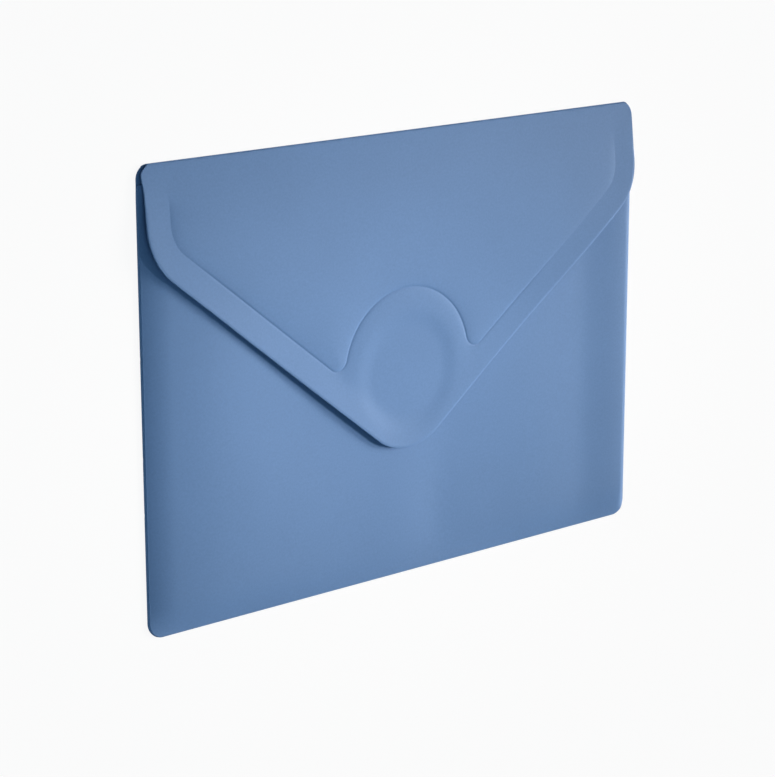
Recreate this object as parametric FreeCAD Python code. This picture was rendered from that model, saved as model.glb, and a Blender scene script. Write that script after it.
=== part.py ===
"""Plastic document wallet: a pocket and its pointed flap, folded from one sheet, with a
hook-and-loop dot as closure.

The wallet lies on its back.  X runs along its width, +Y points to the fold that the flap hangs
from, and +Z comes out of its face.  The origin is under the middle, on the surface it lies on.
"Drop" is the distance below the outside of that fold, measured along -Y.  Sizes are millimetres.
"""
import FreeCAD, Part
import math
import os

Vector = FreeCAD.Vector
UP = Vector(0, 0, 1)

# The sheet and the closed wallet
WIDTH = 335.0
HEIGHT = 242.0
SHEET = 0.6
TOP_CORNER_RADIUS = 7.5
BOTTOM_CORNER_RADIUS = 9.0

# The pocket: back, front, the fold between them and the side welds
SEAM_GAP = 0.3
WELD_WIDTH = 3.0
MOUTH_DROP = 10.0
PILLOW_RISE = 4.4
SIDE_ROLL = 14.0
BOTTOM_ROLL = 20.0
MOUTH_SHARE = 0.15
FULL_DROP = 110.0
CREST_INSET = 42.5
CLOSURE_SHARE = 0.1
BOTTOM_SHARE = 0.45

# The fold that the flap turns about
FOLD_RADIUS = 1.2
HINGE_CLEARANCE = 0.15

# The outline of the flap
FLAP_DEPTH = 170.6
FLAP_INSET = 1.5
FLAP_ANGLE = 38.5
SHOULDER_RADIUS = 35.0
TIP_RADIUS = 34.5

# How far the flap stands off the pocket
RAMP_LENGTH = 30.0
WING_RISE = 5.2
WING_REACH = 145.0
FLARE_SLOPE = 0.10
FLARE_START = 20.0
CREASE_SOFTNESS = 3.0

# The pressed groove that runs inside the flap's edge and round its closure
GROOVE_INSET = 15.0
GROOVE_START_DROP = 13.0
GROOVE_WIDTH = 1.6
GROOVE_DEPTH = 0.2
RING_RADIUS = 42.2
RING_DROP = 125.0
VALLEY_RADIUS = 6.5

# The round dish over the closure
DISH_DROP = 129.0
DISH_RADIUS = 29.8
DISH_DEPTH = 0.6
DISH_EDGE = 10.0

# The hook-and-loop dots
DOT_DIAMETER = 22.0
DOT_THICKNESS = 0.7
DOT_GAP = 0.15
DOT_MARGIN = 4.0

# Spacing of the points that the curved faces pass through, and how far these overrun an outline
WIDE_STEP = 12.0
FINE_STEP = 5.0
OVERRUN = 6.0

HALF_WIDTH = WIDTH / 2
FLAP_HALF_WIDTH = HALF_WIDTH - FLAP_INSET
FOLD_AXIS_Y = HEIGHT / 2 - FOLD_RADIUS
FLAP_SIN = math.sin(math.radians(FLAP_ANGLE))
FLAP_COS = math.cos(math.radians(FLAP_ANGLE))
TIP_CENTRE_DROP = FLAP_DEPTH - TIP_RADIUS
SLANT_REACH = FLAP_COS * TIP_CENTRE_DROP + TIP_RADIUS
SHOULDER_X = FLAP_HALF_WIDTH - SHOULDER_RADIUS
SHOULDER_DROP = (SLANT_REACH - SHOULDER_RADIUS - FLAP_SIN * SHOULDER_X) / FLAP_COS


def drop_to_y(drop):
    """The Y of a place that lies this far below the fold."""
    return HEIGHT / 2 - drop


def place(x, drop, z=0.0):
    """A point given by its X, its drop and its height."""
    return Vector(x, drop_to_y(drop), z)


def smooth_step(value):
    """0 below 0, 1 above 1, and an even S-curve between."""
    held = min(max(value, 0.0), 1.0)
    return held * held * (3.0 - 2.0 * held)


def soft_positive(value, softness):
    """The value where it is well above 0, nothing where it is well below, and a soft turn between."""
    return 0.5 * (value + math.hypot(value, softness))


def edge_distance(x, drop):
    """How far a place lies inside the flap's sides, slants and round tip."""
    side = abs(x)
    past_shoulder = side - SHOULDER_X
    below_shoulder = drop - SHOULDER_DROP
    if below_shoulder <= 0.0:
        return FLAP_HALF_WIDTH - side
    if past_shoulder > 0.0 and below_shoulder * FLAP_SIN < past_shoulder * FLAP_COS:
        return SHOULDER_RADIUS - math.hypot(past_shoulder, below_shoulder)
    below_tip = drop - TIP_CENTRE_DROP
    if below_tip > 0.0 and side * FLAP_COS < below_tip * FLAP_SIN:
        return TIP_RADIUS - math.hypot(side, below_tip)
    return SLANT_REACH - side * FLAP_SIN - drop * FLAP_COS


def rolled(inside, reach):
    """Rises from 0 at an edge to 1 where its roll ends, steep at first and then level."""
    left = 1.0 - min(max(inside / reach, 0.0), 1.0)
    return 1.0 - left * left


def front_under(x, drop):
    """Height of the front panel's underside.

    It starts level with its welds and the bottom fold, rolls up to a crest along each side, and
    dips between the crests, most where the closure holds it down.  It sinks again to the mouth.
    """
    side = rolled(HALF_WIDTH - WELD_WIDTH - abs(x), SIDE_ROLL)
    bottom = rolled(HEIGHT - bottom_fold_radius() - drop, BOTTOM_ROLL)
    mouth = smooth_step((drop - MOUTH_DROP) / (FULL_DROP - MOUTH_DROP))
    held = DOT_DIAMETER / 2 + DOT_MARGIN
    across = smooth_step((abs(x) - held) / (HALF_WIDTH - CREST_INSET - held))
    down = smooth_step((drop - DISH_DROP - held) / (HEIGHT - BOTTOM_ROLL - DISH_DROP - held))
    dip = CLOSURE_SHARE + (BOTTOM_SHARE - CLOSURE_SHARE) * down
    share = (MOUTH_SHARE + (1.0 - MOUTH_SHARE) * mouth) * (dip + (1.0 - dip) * across)
    return SHEET + SEAM_GAP + PILLOW_RISE * side * bottom * share


def bottom_fold_radius():
    """Outside radius of the bottom fold, which holds the front at the level of its welds."""
    return SHEET + SEAM_GAP / 2


def closure_level():
    """Height of the flap's underside over the dots."""
    return front_under(0.0, DISH_DROP) + SHEET + 2 * DOT_THICKNESS + DOT_GAP


def flap_under(x, drop):
    """Height of the flap's underside: fold, ramp, wings, flared border and dish added up."""
    root = 2 * FOLD_RADIUS - SHEET
    climb = closure_level() + DISH_DEPTH - root
    ramp = climb * (1.0 - math.exp(-drop / RAMP_LENGTH))
    out = min(abs(x) / FLAP_HALF_WIDTH, 1.0) ** 2
    wing_phase = math.pi * min(max(drop, 0.0), WING_REACH) / WING_REACH
    wing = WING_RISE * out * (1.5 - 0.5 * out) * math.sin(wing_phase) ** 2
    flare = FLARE_SLOPE * soft_positive(GROOVE_INSET - edge_distance(x, drop), CREASE_SOFTNESS)
    flare *= 1.0 - math.exp(-max(drop, 0.0) / FLARE_START)
    from_dish = math.hypot(x, drop - DISH_DROP)
    dish = DISH_DEPTH * (1.0 - smooth_step((from_dish - DISH_RADIUS) / DISH_EDGE + 0.5))
    return root + ramp + wing + flare - dish


def spread(*stops):
    """Values from the first stop to the last: wide steps to the second, fine to the third, then wide."""
    values = []
    for low, high, step in zip(stops, stops[1:], (WIDE_STEP, FINE_STEP, WIDE_STEP)):
        count = max(1, math.ceil((high - low) / step))
        values += [low + (high - low) * index / count for index in range(count)]
    return values + [stops[-1]]


def curved_face(height_at, across, down):
    """A smooth face through the heights at each pair of values."""
    rows = [[place(x, drop, height_at(x, drop)) for drop in down] for x in across]
    surface = Part.BSplineSurface()
    surface.interpolate(rows)
    return surface.toShape()


def front_face():
    """The underside of the front panel, with some overrun."""
    reach = HALF_WIDTH + OVERRUN
    rolls = HALF_WIDTH - WELD_WIDTH - SIDE_ROLL
    side = spread(0.0, rolls, reach)
    across = [-x for x in reversed(side[1:])] + side
    down = spread(MOUTH_DROP - OVERRUN, HEIGHT - BOTTOM_ROLL, HEIGHT + OVERRUN)
    return curved_face(front_under, across, down)


def flap_face():
    """The underside of the flap, with some overrun."""
    reach = FLAP_HALF_WIDTH + OVERRUN
    fine = RING_RADIUS + DISH_EDGE
    across = spread(-reach, -fine, fine, reach)
    down = spread(0.0, RING_DROP - fine, FLAP_DEPTH, FLAP_DEPTH + OVERRUN)
    return curved_face(flap_under, across, down)


def arc(centre, radius, start_angle, end_angle):
    """An arc in plan, from one angle to another, both in degrees from +X."""
    angles = (start_angle, (start_angle + end_angle) / 2, end_angle)
    points = []
    for angle in angles:
        turned = math.radians(angle)
        points.append(centre + Vector(radius * math.cos(turned), radius * math.sin(turned), 0))
    return Part.Arc(*points).toShape()


def chain(edges):
    """Join edges end to start with straight lines, and close the outline."""
    joined = []
    for index, edge in enumerate(edges):
        following = edges[(index + 1) % len(edges)]
        joined.append(edge)
        here = edge.valueAt(edge.LastParameter)
        there = following.valueAt(following.FirstParameter)
        if here.distanceToPoint(there) > 1e-6:
            joined.append(Part.makeLine(here, there))
    return Part.Face(Part.Wire(Part.__sortEdges__(joined)))


def upright(face, low, high):
    """A prism on a plan outline, from one height to another."""
    raised = face.copy()
    raised.translate(UP * low)
    return raised.extrude(UP * (high - low))


def wallet_outline(inset):
    """The rounded outline of the closed wallet, moved inwards."""
    side = HALF_WIDTH - inset
    top = HEIGHT / 2 - inset
    top_x = HALF_WIDTH - TOP_CORNER_RADIUS
    top_y = HEIGHT / 2 - TOP_CORNER_RADIUS
    bottom_x = HALF_WIDTH - BOTTOM_CORNER_RADIUS
    bottom_y = BOTTOM_CORNER_RADIUS - HEIGHT / 2
    return chain([
        arc(Vector(top_x, top_y, 0), side - top_x, 0, 90),
        arc(Vector(-top_x, top_y, 0), top - top_y, 90, 180),
        arc(Vector(-bottom_x, bottom_y, 0), side - bottom_x, 180, 270),
        arc(Vector(bottom_x, bottom_y, 0), side - bottom_x, 270, 360),
    ])


def half_tube(axis_y, radius, outward):
    """The sheet where it turns over along X, open on the side away from `outward`."""
    whole = Part.makeCylinder(radius, WIDTH, Vector(-HALF_WIDTH, axis_y, radius), Vector(1, 0, 0))
    bore = Part.makeCylinder(radius - SHEET, WIDTH, Vector(-HALF_WIDTH, axis_y, radius), Vector(1, 0, 0))
    near_y = min(axis_y, axis_y + outward * radius)
    half = Part.makeBox(WIDTH, radius, 2 * radius, Vector(-HALF_WIDTH, near_y, 0))
    return whole.cut(bore).common(half)


def back_panel():
    """The flat back, between the axes of its two folds."""
    bottom_y = bottom_fold_radius() - HEIGHT / 2
    return Part.makeBox(WIDTH, FOLD_AXIS_Y - bottom_y, SHEET, Vector(-HALF_WIDTH, bottom_y, 0))


def front_panel(face):
    """The pillowed front, from the bottom fold up to the straight mouth."""
    bottom_y = bottom_fold_radius() - HEIGHT / 2
    length = drop_to_y(MOUTH_DROP) - bottom_y
    field = Part.makeBox(WIDTH, length, HEIGHT, Vector(-HALF_WIDTH, bottom_y, 0))
    return face.extrude(UP * SHEET).common(field)


def side_welds():
    """The strips that join front and back down both sides and round the bottom corners."""
    ring = wallet_outline(0.0).cut(wallet_outline(WELD_WIDTH))
    strips = upright(ring, SHEET / 2, SHEET + SEAM_GAP + SHEET / 2)
    length = HEIGHT - MOUTH_DROP
    middle_width = 2 * (HALF_WIDTH - BOTTOM_CORNER_RADIUS)
    corner = Vector(-middle_width / 2, -HEIGHT / 2, 0)
    below_mouth = Part.makeBox(WIDTH, length, HEIGHT, Vector(-HALF_WIDTH, -HEIGHT / 2, 0))
    return strips.common(below_mouth).cut(Part.makeBox(middle_width, length, HEIGHT, corner))


def pocket(face):
    """Back, folds, welds and front as the one sheet that they are."""
    folds = [
        half_tube(FOLD_AXIS_Y, FOLD_RADIUS, 1),
        half_tube(bottom_fold_radius() - HEIGHT / 2, bottom_fold_radius(), -1),
    ]
    whole = back_panel().fuse(folds + [front_panel(face), side_welds()])
    trimmed = whole.common(upright(wallet_outline(0.0), -SHEET, HEIGHT))
    return trimmed.removeSplitter()


def flap_outline():
    """The flap in plan: rounded root corners, straight sides, round shoulders, slants and tip."""
    normal = 90.0 - FLAP_ANGLE
    root_x = FLAP_HALF_WIDTH - TOP_CORNER_RADIUS
    root_turn = math.degrees(math.asin((TOP_CORNER_RADIUS - FOLD_RADIUS) / TOP_CORNER_RADIUS))
    return chain([
        arc(place(-root_x, TOP_CORNER_RADIUS), TOP_CORNER_RADIUS, 180 - root_turn, 180),
        arc(place(-SHOULDER_X, SHOULDER_DROP), SHOULDER_RADIUS, 180, 180 + normal),
        arc(place(0, TIP_CENTRE_DROP), TIP_RADIUS, 180 + normal, 360 - normal),
        arc(place(SHOULDER_X, SHOULDER_DROP), SHOULDER_RADIUS, 360 - normal, 360),
        arc(place(root_x, TOP_CORNER_RADIUS), TOP_CORNER_RADIUS, 0, root_turn),
    ])


def valley_centre():
    """Centre of the small curve between the groove's slant and its ring, on the +X side."""
    line_reach = SLANT_REACH - GROOVE_INSET - VALLEY_RADIUS - FLAP_COS * RING_DROP
    circle = RING_RADIUS + VALLEY_RADIUS
    along = math.sqrt(circle ** 2 - line_reach ** 2)
    x = FLAP_SIN * line_reach + FLAP_COS * along
    drop = RING_DROP + FLAP_COS * line_reach - FLAP_SIN * along
    return x, drop


def groove_side(shift, backwards):
    """One long side of the groove, moved inwards from its middle line by `shift`."""
    normal = 90.0 - FLAP_ANGLE
    shoulder = SHOULDER_RADIUS - GROOVE_INSET - shift
    valley = VALLEY_RADIUS - shift
    valley_x, valley_drop = valley_centre()
    ring_turn = math.degrees(math.atan2(RING_DROP - valley_drop, valley_x))
    turns = [
        (place(-SHOULDER_X, SHOULDER_DROP), shoulder, 180, 180 + normal),
        (place(-valley_x, valley_drop), valley, 180 + normal, 360 - ring_turn),
        (place(0, RING_DROP), RING_RADIUS + shift, 180 - ring_turn, ring_turn),
        (place(valley_x, valley_drop), valley, 180 + ring_turn, 360 - normal),
        (place(SHOULDER_X, SHOULDER_DROP), shoulder, 360 - normal, 360),
    ]
    if backwards:
        turns = [(centre, radius, end, start) for centre, radius, start, end in reversed(turns)]
    edges = [arc(*turn) for turn in turns]
    first = edges[0].valueAt(edges[0].FirstParameter)
    last = edges[-1].valueAt(edges[-1].LastParameter)
    top_y = drop_to_y(GROOVE_START_DROP)
    into = Part.makeLine(Vector(first.x, top_y, 0), first)
    out = Part.makeLine(last, Vector(last.x, top_y, 0))
    return [into] + edges + [out]


def groove_outline():
    """The groove in plan: down one side of its middle line and back up the other."""
    half = GROOVE_WIDTH / 2
    return chain(groove_side(-half, False) + groove_side(half, True))


def flap(face):
    """The flap, clear of the fold it turns about, with its groove pressed in."""
    blank = face.extrude(UP * SHEET).common(upright(flap_outline(), 0.0, HEIGHT))
    fold = Part.makeCylinder(FOLD_RADIUS + HINGE_CLEARANCE, WIDTH,
                             Vector(-HALF_WIDTH, FOLD_AXIS_Y, FOLD_RADIUS), Vector(1, 0, 0))
    skin_floor = face.copy()
    skin_floor.translate(UP * (SHEET - GROOVE_DEPTH))
    groove = skin_floor.extrude(UP * SHEET).common(upright(groove_outline(), 0.0, HEIGHT))
    return blank.cut(fold).cut(groove)


def dot(face, lift):
    """A round dot that lies on a curved face moved up by `lift`."""
    floor = face.copy()
    floor.translate(UP * lift)
    field = Part.makeCylinder(DOT_DIAMETER / 2, HEIGHT, place(0, DISH_DROP))
    return floor.extrude(UP * DOT_THICKNESS).common(field)


def build():
    """Every sub-part by name."""
    front = front_face()
    lid = flap_face()
    return {
        "pocket": pocket(front),
        "flap": flap(lid),
        "loop_dot": dot(front, SHEET),
        "hook_dot": dot(lid, -DOT_THICKNESS),
    }


def as_solid(shape):
    """The one solid that a sub-part is."""
    solids = shape.Solids
    if len(solids) != 1:
        raise ValueError("expected one solid, found %d" % len(solids))
    return solids[0]


os.makedirs("parts", exist_ok=True)
for name, shape in build().items():
    solid = as_solid(shape)
    solid.exportStep(os.path.join("parts", name + ".step"))
    box = solid.optimalBoundingBox(False)
    print("%-10s volume %9.1f mm3, x %.2f..%.2f, y %.2f..%.2f, z %.2f..%.2f, valid %s" % (
        name, solid.Volume, box.XMin, box.XMax, box.YMin, box.YMax, box.ZMin, box.ZMax,
        solid.isValid()))
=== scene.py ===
import logging
import math
from dataclasses import dataclass, field
from enum import Enum
from typing import Callable, Sequence

import bmesh
import bpy
import numpy as np
from mathutils import Matrix, Vector


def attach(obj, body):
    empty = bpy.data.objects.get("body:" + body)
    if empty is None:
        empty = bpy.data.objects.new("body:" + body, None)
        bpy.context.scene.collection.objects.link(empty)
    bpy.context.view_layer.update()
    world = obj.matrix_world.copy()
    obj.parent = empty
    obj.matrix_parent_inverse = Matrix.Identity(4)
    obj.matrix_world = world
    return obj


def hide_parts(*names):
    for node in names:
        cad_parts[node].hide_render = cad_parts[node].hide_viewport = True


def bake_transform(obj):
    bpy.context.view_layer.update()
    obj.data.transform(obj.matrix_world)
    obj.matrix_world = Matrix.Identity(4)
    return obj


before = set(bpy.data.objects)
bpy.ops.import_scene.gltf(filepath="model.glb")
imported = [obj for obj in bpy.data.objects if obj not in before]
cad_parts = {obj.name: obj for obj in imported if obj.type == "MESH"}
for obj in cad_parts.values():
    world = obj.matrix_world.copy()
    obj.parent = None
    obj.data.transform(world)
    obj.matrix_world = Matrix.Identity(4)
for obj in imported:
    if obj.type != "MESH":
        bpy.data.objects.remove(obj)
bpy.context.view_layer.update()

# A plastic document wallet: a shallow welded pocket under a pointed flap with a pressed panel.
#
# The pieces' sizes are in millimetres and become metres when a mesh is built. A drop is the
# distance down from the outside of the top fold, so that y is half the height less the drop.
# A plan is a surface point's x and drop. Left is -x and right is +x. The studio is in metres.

MM = 0.001
WELD_DISTANCE = 2e-6
SHORTEST_EDGE = 1e-7
TUBE_SIDES = 4
LOG = logging.getLogger("document_wallet")

Array = np.ndarray


class Body(str, Enum):
    """The moving bodies of the wallet."""

    POCKET = "pocket"
    FLAP = "flap"


class Slot(str, Enum):
    """The material slots of the record."""

    SHEET = "blue_sheet"
    LOOPS = "loop_pile"
    HOOKS = "hook_nylon"


# ---------------------------------------------------------------------------- curves and meshes


def smooth_step(t: Array) -> Array:
    """A rise from 0 to 1 with level ends: 3t^2 - 2t^3 of t held between 0 and 1."""
    t = np.clip(t, 0.0, 1.0)
    return t * t * (3.0 - 2.0 * t)


def rolled(inside: Array, reach: float) -> Array:
    """A rise from 0 at an edge to 1 at `reach`: 1 less the square of what is left to go."""
    return 1.0 - (1.0 - np.clip(inside / reach, 0.0, 1.0)) ** 2


def soft_positive(t: Array, softness: float) -> Array:
    """t where it is well above 0 and 0 well below: half of t plus the root of t^2 + softness^2."""
    return 0.5 * (t + np.sqrt(t * t + softness * softness))


def bell(t: Array, spread: float) -> Array:
    """A bell of height 1 about 0: e to the power of minus half of (t / spread)^2."""
    return np.exp(-0.5 * (t / spread) ** 2)


def graded(stops: Sequence[float], counts: Sequence[int]) -> Array:
    """Values that run evenly between each pair of stops.

    Args:
        stops: The values where the spacing changes.
        counts: How many steps lie between one stop and the next.

    Returns:
        All the values, each stop once.
    """
    runs = [np.linspace(low, high, count, endpoint=False)
            for low, high, count in zip(stops, stops[1:], counts)]
    return np.concatenate(runs + [np.array([stops[-1]])])


def grid_faces(rows: int, columns: int, start: int = 0, close_columns: bool = False) -> Array:
    """The quads of a grid of points that is stored row by row.

    Args:
        rows: The number of rows.
        columns: The number of points in a row.
        start: The index of the grid's first point.
        close_columns: Whether the last point of a row joins its first.

    Returns:
        An array of four indices a quad.
    """
    i = np.arange(rows - 1)[:, None]
    j = np.arange(columns if close_columns else columns - 1)[None, :]
    k = (j + 1) % columns
    here, below = i * columns, (i + 1) * columns
    quads = np.stack([here + j, here + k, below + k, below + j], axis=-1)
    return quads.reshape(-1, 4) + start


def strip_faces(first: Array, second: Array) -> Array:
    """The quads between two rows of point indices."""
    return np.stack([first[:-1], first[1:], second[1:], second[:-1]], axis=1)


def tube_faces(rows: int) -> Array:
    """The faces of a small four-sided tube.

    Args:
        rows: The number of rings of points along the tube.

    Returns:
        The four indices of each quad, those of the two flat ends last.
    """
    ring = np.arange(TUBE_SIDES)
    ends = [ring[::-1], (rows - 1) * TUBE_SIDES + ring]
    return np.concatenate([grid_faces(rows, TUBE_SIDES, close_columns=True), ends])


def half_turn(steps: int) -> Array:
    """Angles from straight up round to straight down."""
    return np.linspace(math.pi / 2, -math.pi / 2, steps + 1)


class Skin:
    """Grids of points that are gathered and welded into one closed mesh."""

    def __init__(self) -> None:
        """Starts with nothing."""
        self.points: list[Array] = []
        self.faces: list[Array] = []
        self.polygons: list[list[int]] = []
        self.count = 0

    def add_grid(self, points: Array, close_columns: bool = False) -> int:
        """Adds a grid of points in millimetres and its quads.

        Args:
            points: An array of rows, columns and three coordinates.
            close_columns: Whether the last point of a row joins its first.

        Returns:
            The index of the grid's first point.
        """
        rows, columns, _ = points.shape
        start = self.count
        self.points.append(points.reshape(-1, 3))
        self.faces.append(grid_faces(rows, columns, start, close_columns))
        self.count += rows * columns
        return start

    def add_polygon(self, indices: Sequence[int]) -> None:
        """Adds one flat face over points that are already there."""
        self.polygons.append([int(index) for index in indices])

    def add_copies(self, points: Array, faces: Array) -> None:
        """Adds copies of one small shape.

        Args:
            points: An array of copies, points and three coordinates, in millimetres.
            faces: The four indices of each quad of one copy.
        """
        copies, size, _ = points.shape
        starts = self.count + np.arange(copies)[:, None, None] * size
        self.points.append(points.reshape(-1, 3))
        self.faces.append((faces[None] + starts).reshape(-1, 4))
        self.count += copies * size

    def build(self, name: str) -> bpy.types.Object:
        """Welds the points, turns the faces outwards and makes the object.

        Args:
            name: The name of the object and its mesh.

        Returns:
            The object, at the origin.
        """
        points = np.concatenate(self.points) * MM
        faces = [tuple(face) for face in np.concatenate(self.faces).tolist()] + self.polygons
        mesh = bpy.data.meshes.new(name)
        mesh.from_pydata(points.tolist(), [], faces)
        shape = bmesh.new()
        shape.from_mesh(mesh)
        bmesh.ops.remove_doubles(shape, verts=shape.verts, dist=WELD_DISTANCE)
        bmesh.ops.dissolve_degenerate(shape, edges=shape.edges, dist=SHORTEST_EDGE)
        bmesh.ops.recalc_face_normals(shape, faces=shape.faces)
        shape.to_mesh(mesh)
        shape.free()
        mesh.shade_smooth()
        piece = bpy.data.objects.new(name, mesh)
        bpy.context.scene.collection.objects.link(piece)
        return piece


def arc_path(centre: tuple[float, float], radius: float, start: float, end: float, steps: int,
             inwards: bool = False) -> tuple[Array, Array]:
    """Points on an arc in plan: the centre plus the radius along each direction.

    Args:
        centre: The centre's x and drop.
        radius: The arc's radius.
        start: The direction of the first point, in degrees from +x towards the drop.
        end: The direction of the last point.
        steps: The number of steps between them.
        inwards: Whether the normals point to the centre.

    Returns:
        The points and their unit normals.
    """
    turn = np.radians(np.linspace(start, end, steps + 1))
    normal = np.stack([np.cos(turn), np.sin(turn)], axis=1)
    return np.array(centre) + radius * normal, -normal if inwards else normal


def line_path(start: Array, end: Array, normal: Array, stops: Array) -> tuple[Array, Array]:
    """Points on a straight line: the start plus each share of the way to the end."""
    points = np.asarray(start) + stops[:, None] * (np.asarray(end) - np.asarray(start))
    return points, np.repeat(np.asarray(normal)[None, :], len(stops), axis=0)


def joined(*runs: tuple[Array, Array]) -> tuple[Array, Array]:
    """One path made of runs that meet.

    Args:
        runs: The points and the normals of each run, in order.

    Returns:
        All the points and normals, each meeting point once.
    """
    points = np.concatenate([runs[0][0]] + [run[0][1:] for run in runs[1:]])
    normals = np.concatenate([runs[0][1]] + [run[1][1:] for run in runs[1:]])
    return points, normals


def mirrored(points: Array) -> Array:
    """The path and its mirror image about x = 0, from the left end to the right."""
    return np.concatenate([points, (points * np.array([-1.0, 1.0]))[-2::-1]])


# ------------------------------------------------------------------------------------- the form


@dataclass(frozen=True)
class WalletForm:
    """The sizes that the wallet's pieces share, and the heights of its two faces."""

    # The sheet, the closed wallet and its folds
    width: float = 335.0
    height: float = 242.0
    sheet: float = 0.6
    top_corner: float = 7.5
    bottom_corner: float = 9.0
    seam_gap: float = 0.3
    weld_width: float = 3.0
    fold_radius: float = 1.2

    # The pocket's pillowed front
    mouth_drop: float = 10.0
    pillow_rise: float = 4.4
    side_roll: float = 14.0
    bottom_roll: float = 20.0
    mouth_share: float = 0.15
    full_drop: float = 110.0
    crest_inset: float = 42.5
    closure_share: float = 0.1
    bottom_share: float = 0.45

    # The flap's outline, and how far its left edge is set in
    flap_depth: float = 170.6
    flap_inset: float = 1.5
    flap_angle: float = 38.5
    shoulder_radius: float = 35.0
    tip_radius: float = 34.5
    left_set: float = 1.3
    set_length: float = 14.0
    set_power: int = 6

    # How the flap stands off: ramp, wings and flared border
    ramp_length: float = 30.0
    ramp_softness: float = 3.0
    wing_rise: float = 5.2
    left_wing_rise: float = 3.6
    wing_reach: float = 145.0
    wing_ease: float = 0.5
    left_flare: float = 0.07
    right_flare: float = 0.035
    tip_flare: float = 0.06
    tip_flare_drop: float = 60.0
    tip_flare_fade: float = 25.0
    flare_start: float = 20.0
    flare_softness: float = 3.0
    side_mix: float = 30.0

    # The groove, and the ring that it makes round the closure
    groove_inset: float = 15.0
    groove_start: float = 13.0
    groove_fade: float = 16.0
    ring_radius: float = 42.2
    ring_drop: float = 125.0
    valley_radius: float = 6.5

    # The pressed relief: panel, lobe, crease and the cut edge that is drawn down
    panel_lift: float = 0.68
    steep_fall: float = 0.32
    steep_reach: float = 2.6
    left_fall: float = 0.62
    right_fall: float = 0.28
    wide_reach: float = 12.0
    lobe_rise: float = 0.5
    lobe_reach: float = 3.6
    lobe_end: float = 140.0
    lobe_fade: float = 40.0
    lobe_edge: float = 6.0
    crease_depth: float = 0.16
    crease_spread: float = 0.42
    crease_start: float = 42.0
    crease_delay: float = 26.0
    crease_fade: float = 26.0
    left_round: float = 0.3
    right_round: float = 0.5
    edge_reach: float = 1.7

    # The dish and the closure's two dots
    dish_drop: float = 129.0
    dish_radius: float = 29.8
    dish_depth: float = 0.62
    dish_edge: float = 12.0
    dot_diameter: float = 22.0
    dot_thickness: float = 0.7
    dot_gap: float = 0.15
    dot_margin: float = 4.0

    @property
    def half_width(self) -> float:
        """Half of the pocket's width."""
        return self.width / 2

    @property
    def flap_half(self) -> float:
        """Half of the flap's width."""
        return self.half_width - self.flap_inset

    @property
    def slope(self) -> tuple[float, float]:
        """The sine and cosine of the slants' angle."""
        angle = math.radians(self.flap_angle)
        return math.sin(angle), math.cos(angle)

    @property
    def tip_centre(self) -> float:
        """The drop of the centre of the flap's tip."""
        return self.flap_depth - self.tip_radius

    @property
    def slant_reach(self) -> float:
        """The distance from the top fold's middle to the line of a slant."""
        return self.tip_radius + self.slope[1] * self.tip_centre

    @property
    def shoulder(self) -> tuple[float, float]:
        """The centre of the right shoulder, which touches the side and the slant.

        Returns:
            Its x and drop.
        """
        sine, cosine = self.slope
        x = self.flap_half - self.shoulder_radius
        return x, (self.slant_reach - self.shoulder_radius - sine * x) / cosine

    @property
    def valley(self) -> tuple[float, float]:
        """The centre of the groove's small turn between its right slant and its ring.

        Returns:
            Its x and drop.
        """
        sine, cosine = self.slope
        reach = self.slant_reach - self.groove_inset - self.valley_radius - cosine * self.ring_drop
        along = math.sqrt((self.ring_radius + self.valley_radius) ** 2 - reach ** 2)
        return sine * reach + cosine * along, self.ring_drop + cosine * reach - sine * along

    @property
    def fold_drop(self) -> float:
        """The drop of the top fold's axis."""
        return self.fold_radius

    @property
    def bottom_radius(self) -> float:
        """The bottom fold's outside radius, which is also that of the seams' beads."""
        return self.sheet + self.seam_gap / 2

    @property
    def bottom_start(self) -> float:
        """The drop of the bottom fold's axis."""
        return self.height - self.bottom_radius

    @property
    def held_radius(self) -> float:
        """How far from its middle the closure holds the front down."""
        return self.dot_diameter / 2 + self.dot_margin

    def place(self, x: Array, drop: Array, z: Array) -> Array:
        """Points in space: x, half the height less the drop, and z."""
        x, drop, z = np.broadcast_arrays(x, drop, z)
        return np.stack([x, self.height / 2 - drop, z], axis=-1)

    def set_in(self, x: Array, drop: Array) -> Array:
        """The flap's x with its left edge set in a little, growing from the fold down."""
        left = np.clip(-x / self.flap_half, 0.0, 1.0) ** self.set_power
        return x + self.left_set * left * smooth_step((drop - self.fold_drop) / self.set_length)

    def rightness(self, x: Array) -> Array:
        """0 left of the flap's middle and 1 right of it, with an even S-curve between."""
        return smooth_step((x + self.side_mix) / (2 * self.side_mix))

    def half_at(self, drop: Array, inset: float) -> Array:
        """Half of the outline's width: the full half less what the round corners take off.

        Args:
            drop: The drops asked for.
            inset: How far the outline lies inside the pocket's.

        Returns:
            Half of the width at each drop.
        """
        top = np.clip(self.top_corner - drop, 0.0, self.top_corner)
        taken = self.top_corner - np.sqrt(self.top_corner ** 2 - top ** 2)
        low = np.clip(drop - (self.height - self.bottom_corner), 0.0, self.bottom_corner)
        taken = taken + self.bottom_corner - np.sqrt(self.bottom_corner ** 2 - low ** 2)
        return self.half_width - inset - taken

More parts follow.
